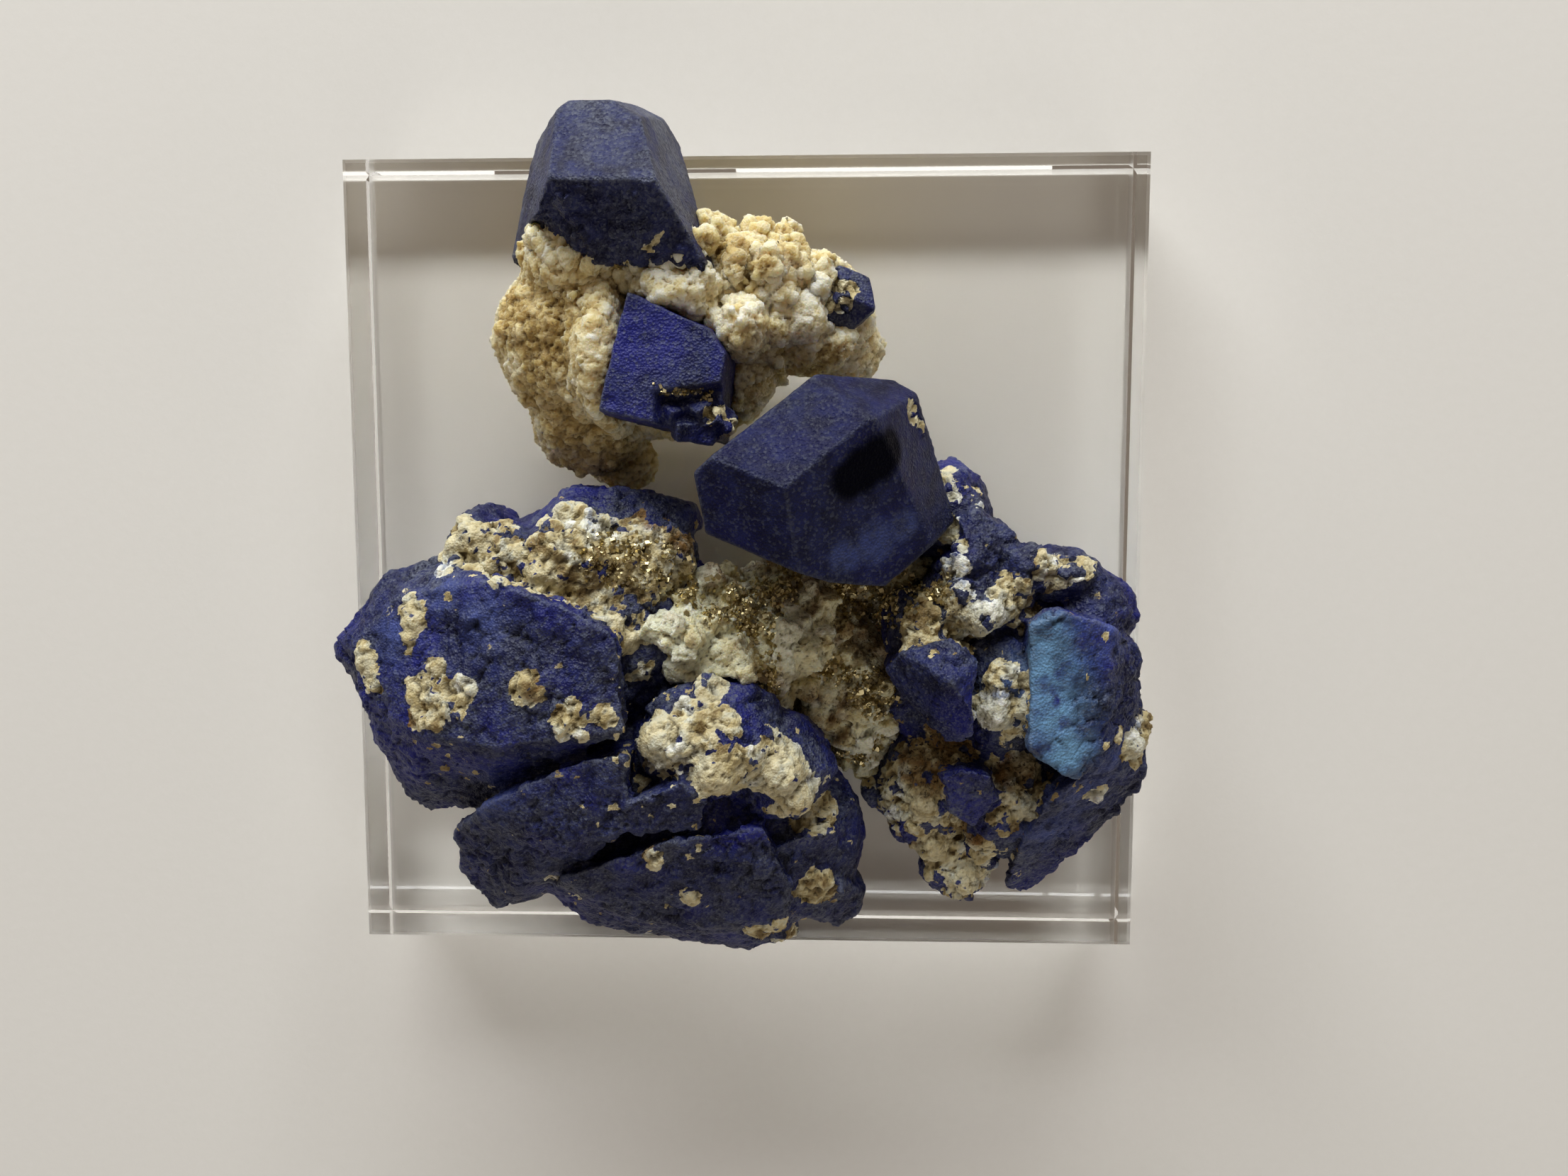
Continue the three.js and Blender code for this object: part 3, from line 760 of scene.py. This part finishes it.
def upper_calcite():
    node = "upper_calcite"
    solid_points, solid_faces = solid_of(node)
    crest_grains = crust(solid_points, solid_faces, UPPER_CREST, 420, (0.5, 1.25), 21, 0.2)
    small = crust(solid_points, solid_faces, UPPER_STAIN + UPPER_WHITE, 260, (0.4, 0.9), 22)
    blocks = joined(crest_grains, small, grain_set(UPPER_LAPS))
    points, quads = grown(node, blocks, FILL_ROUNDS, UPPER_LUMPS)
    coarse, grain, seam = grain_relief(points, 1.5, 23)
    fine, small_grain, small_seam = grain_relief(points, 0.6, 24)
    crest = patches(points, UPPER_CREST, seed=22)
    white = patches(points, UPPER_WHITE, 0.5, 2.0, seed=27)
    brown = patches(points, UPPER_STAIN, 0.5, 2.0, seed=26)
    amount = 0.28 + 0.25 * fractal(points, 3.2, 25, 3)
    amount += coarse * (0.5 + 0.3 * crest) + fine * (1.2 - 0.4 * white)
    tone = 0.55 + 0.3 * white - 0.25 * brown + 0.35 * (grain - 0.5) + 0.45 * (small_grain - 0.5)
    points = moved(points, quads, amount)
    walls = 0.3 * np.maximum(seam * crest, small_seam * (1 - white))
    marks = {
        "calcite": np.ones(len(points)),
        "tone": np.clip(tone + 0.25 * fractal(points, 4.0, 28), 0, 1),
        "stain": 0.6 * brown * smoothstep(0.5, 0.9, small_grain),
        # The seam mark holds joints between grains and painted shade in creases.
        "seam": np.maximum(walls, 0.6 * creases(points, quads)),
    }
    return dressed(node, points, quads, marks, CALCITE), points, quads


def calcite_bridge():
    node = "calcite_bridge"
    solid_points, solid_faces = solid_of(node)
    everywhere = [(2.0, -6.0, 22.0, 20.0)]
    blocks = crust(solid_points, solid_faces, everywhere, 620, (0.6, 1.9), 31, -0.1)
    points, quads = grown(node, blocks, lumps=BRIDGE_LUMPS)
    fine, small_grain, small_seam = grain_relief(points, 0.6, 34)
    _, block_number = inside_blocks(points, blocks)
    dirt = smoothstep(0.1, 0.5, fractal(points, 3.0, 36))
    points = moved(points, quads, 0.2 * fractal(points, 2.4, 33) + fine * 0.8)
    marks = {
        "calcite": np.ones(len(points)),
        "tone": np.clip(0.65 + 0.8 * (block_number - 0.5) + 0.3 * (small_grain - 0.5), 0, 1),
        "stain": 0.85 * np.maximum(patches(points, BRIDGE_STAIN, 0.5, 2.0, seed=35), dirt),
        # The seam mark holds joints between grains and painted shade in creases.
        "seam": np.maximum(0.25 * small_seam, creases(points, quads)),
    }
    return dressed(node, points, quads, marks, GREY_CALCITE), points, quads


def single_crystal(
    node, seed, pale_places, bloom, vivid, relief, rough_front=0.0, blocks=None, shade=0.0, soft=None
):
    """One crystal, with pale chips, a rough front and soft painted reflections where they are asked for."""
    points, quads = grown(node, blocks)
    edge = smoothstep(0.02, 0.09, sharpness(points, quads))
    points = eased(points, quads, 1)
    coarse, grain, seam = grain_relief(points, 0.9, seed + 3)
    zone = patches(points, pale_places, 0.5, 1.2, seed=seed)
    pale = smoothstep(-0.06, 0.06, 0.7 * zone - grain) * smoothstep(0.05, 0.2, zone)
    facing = normals(points, quads)
    broken = rough_front * smoothstep(0.3, 0.7, -facing[:, 1]) * smoothstep(-0.2, 0.4, facing[:, 2])
    broken = np.maximum(broken, zone)
    amount = relief * crystal_relief(points, seed) * (1 - 0.5 * broken)
    amount += broken * (1.5 * coarse + 0.6 * fractal(points, 2.4, seed + 4))
    marks = {
        "calcite": pale,
        "tone": np.clip(0.15 + 0.75 * grain, 0, 1),
        "seam": seam * zone,
        # Dust and painted sheen on the faces
        "bloom": bloom * (1 - 0.6 * broken) * smoothstep(-0.5, 0.4, fractal(points, 5.0, seed + 11)),
        "vivid": vivid * smoothstep(-0.3, 0.3, fractal(points, 4.0, seed + 13)),
        "edge": 0.6 * edge * (1 - broken),
        "dark": np.full(len(points), shade),
    }
    # Painted reflections, where they are asked for
    for name, (level, places) in (soft or {}).items():
        marks[name] = np.maximum(marks.get(name, 0), level * smoothstep(0.3, 0.8, glow(points, places)))
    points = moved(points, quads, amount)
    return dressed(node, points, quads, marks, LAZURITE), points, quads


LEFT_PLACES = {"calcite": LEFT_CALCITE, "stain": LEFT_STAIN, "bright": LEFT_PAINTED_SHEEN, "cyan": [], "white": []}
RIGHT_PLACES = {
    "calcite": RIGHT_CALCITE,
    "stain": RIGHT_STAIN,
    "bright": RIGHT_PAINTED_SHEEN,
    "cyan": RIGHT_CYAN,
    "white": RIGHT_WHITE,
}
BROKEN_CORNER = grain_set(EMBEDDED_BREAK)
skins = [
    cluster("left_cluster", LEFT_PLACES, LEFT_LUMPS, 100, 420, 0.5),
    cluster("right_cluster", RIGHT_PLACES, RIGHT_LUMPS, 200, 360, 0.4),
    upper_calcite(),
    calcite_bridge(),
    single_crystal("top_crystal", 300, TOP_SPECKS, 1.0, 0.0, 0.35, 1.0),
    single_crystal("embedded_crystal", 310, EMBEDDED_SPECKS, 0.15, 1.0, 0.7, blocks=BROKEN_CORNER),
    single_crystal("side_crystal", 320, SIDE_SPECKS, 0.9, 0.4, 0.5),
    single_crystal("large_crystal", 330, LARGE_CHIP, 0.1, 0.35, 0.3, shade=LARGE_SHADE, soft=LARGE_PAINTED_REFLECTIONS),
]

# Grains of pyrite


def joined_piece(name, points, faces, material):
    mesh = make_mesh(name, points, faces)
    mesh.materials.append(material)
    piece = bpy.data.objects.new(name, mesh)
    bpy.context.scene.collection.objects.link(piece)
    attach(piece, BODY)
    return piece


def on_skins(count, seed):
    """Points spread over the outside of all the skins, with normals."""
    found = []
    whole = sum(len(quads) for _, _, quads in skins)
    for number, (_, points, quads) in enumerate(skins):
        triangles = np.concatenate([quads[:, :3], quads[:, [0, 2, 3]]])
        found.append(samples(points, triangles, count * len(quads) // whole, seed + number))
    return [np.concatenate(part) for part in zip(*found)]


def along(points, strings):
    """How near each point is to the nearest string: 1 on it and 0 at its half width."""
    nearest = np.zeros(len(points))
    for line, width in strings:
        for start, end in zip(line[:-1], line[1:]):
            start, end = np.array(start), np.array(end)
            t = np.clip((points - start) @ (end - start) / ((end - start) @ (end - start)), 0, 1)
            distance = np.linalg.norm(points - start - t[:, None] * (end - start), axis=1)
            nearest = np.maximum(nearest, 1 - distance / width)
    return nearest


def pyrite_grains():
    rng = np.random.default_rng(51)
    at, normal = on_skins(600000, 52)
    chance = np.clip(along(at, PYRITE_STRINGS), 0, 1) * smoothstep(-0.35, 0.3, fractal(at, 0.9, 53))
    count = min(PYRITE_COUNT, np.count_nonzero(chance))
    keep = rng.choice(len(at), count, replace=False, p=chance / chance.sum())
    radii = PYRITE_SIDE[0] + (PYRITE_SIDE[1] - PYRITE_SIDE[0]) * rng.random(count) ** 2.2
    centres = at[keep] + normal[keep] * radii[:, None] * 0.2
    points, faces = scattered(CUBE, centres, radii / 2, (0.6, 1.2), 54)
    return joined_piece("pyrite_grains", points, faces, pyrite())


pyrite_grains()

# Block
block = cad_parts["acrylic_block"]
block.data.materials.clear()
block.data.materials.append(acrylic())

# Floor
FLOOR_HALF = 1500.0
AIR_UNDER_BLOCK = 0.05
FLOOR_CORNERS = np.array([(-1, -1, 0), (1, -1, 0), (1, 1, 0), (-1, 1, 0)])
floor_points = FLOOR_CORNERS * FLOOR_HALF - (0, 0, AIR_UNDER_BLOCK)
floor_mesh = make_mesh("floor", floor_points, np.array([[0, 1, 2, 3]]))
floor_mesh.materials.append(paper())
floor = bpy.data.objects.new("floor", floor_mesh)
bpy.context.scene.collection.objects.link(floor)

# Light: a wide window behind the block, a weak light in front and a dim warm room
WINDOW = {"at": (-0.12, 0.8, 0.41), "width": 1.0, "height": 0.42, "power": 11.8, "colour": (0.97, 0.99, 1.0)}
FILL = {"at": (0.25, -0.8, 0.5), "width": 0.8, "height": 0.8, "power": 2.0, "colour": (1.0, 0.98, 0.94)}
ROOM_COLOUR = (1.0, 0.81, 0.64, 1)
ROOM_STRENGTH = 0.18


def area_light(name, at, width, height, power, colour):
    data = bpy.data.lights.new(name, "AREA")
    data.shape = "RECTANGLE"
    data.size, data.size_y = width, height
    data.energy = power
    data.color = colour
    lamp = bpy.data.objects.new(name, data)
    lamp.location = at
    lamp.rotation_euler = (-Vector(at)).to_track_quat("-Z", "Y").to_euler()
    bpy.context.scene.collection.objects.link(lamp)


area_light("window", **WINDOW)
area_light("fill", **FILL)

world = bpy.data.worlds.new("room")
bpy.context.scene.world = world
world.use_nodes = True
room = world.node_tree.nodes["Background"]
room.inputs["Color"].default_value = ROOM_COLOUR
room.inputs["Strength"].default_value = ROOM_STRENGTH

bpy.context.scene.view_settings.view_transform = "Standard"

# Light passes straight through the polished block
BLOCK_BOUNCES = 28
bpy.context.scene.cycles.blur_glossy = 0.0
bpy.context.scene.cycles.max_bounces = BLOCK_BOUNCES
bpy.context.scene.cycles.glossy_bounces = BLOCK_BOUNCES
bpy.context.scene.cycles.transmission_bounces = BLOCK_BOUNCES

# Camera
camera_data = bpy.data.cameras.new("camera")
camera_data.sensor_width = SENSOR_WIDTH
camera_data.lens = SENSOR_WIDTH * FOCAL_PIXELS / IMAGE_WIDTH
camera_data.clip_start = 0.001
camera = bpy.data.objects.new("camera", camera_data)
turn = Matrix.Rotation(math.radians(CAMERA_TURN_DEG.length), 4, CAMERA_TURN_DEG.normalized())
camera.matrix_world = Matrix.Translation(CAMERA_AT * MM) @ turn
bpy.context.scene.collection.objects.link(camera)
bpy.context.scene.camera = camera
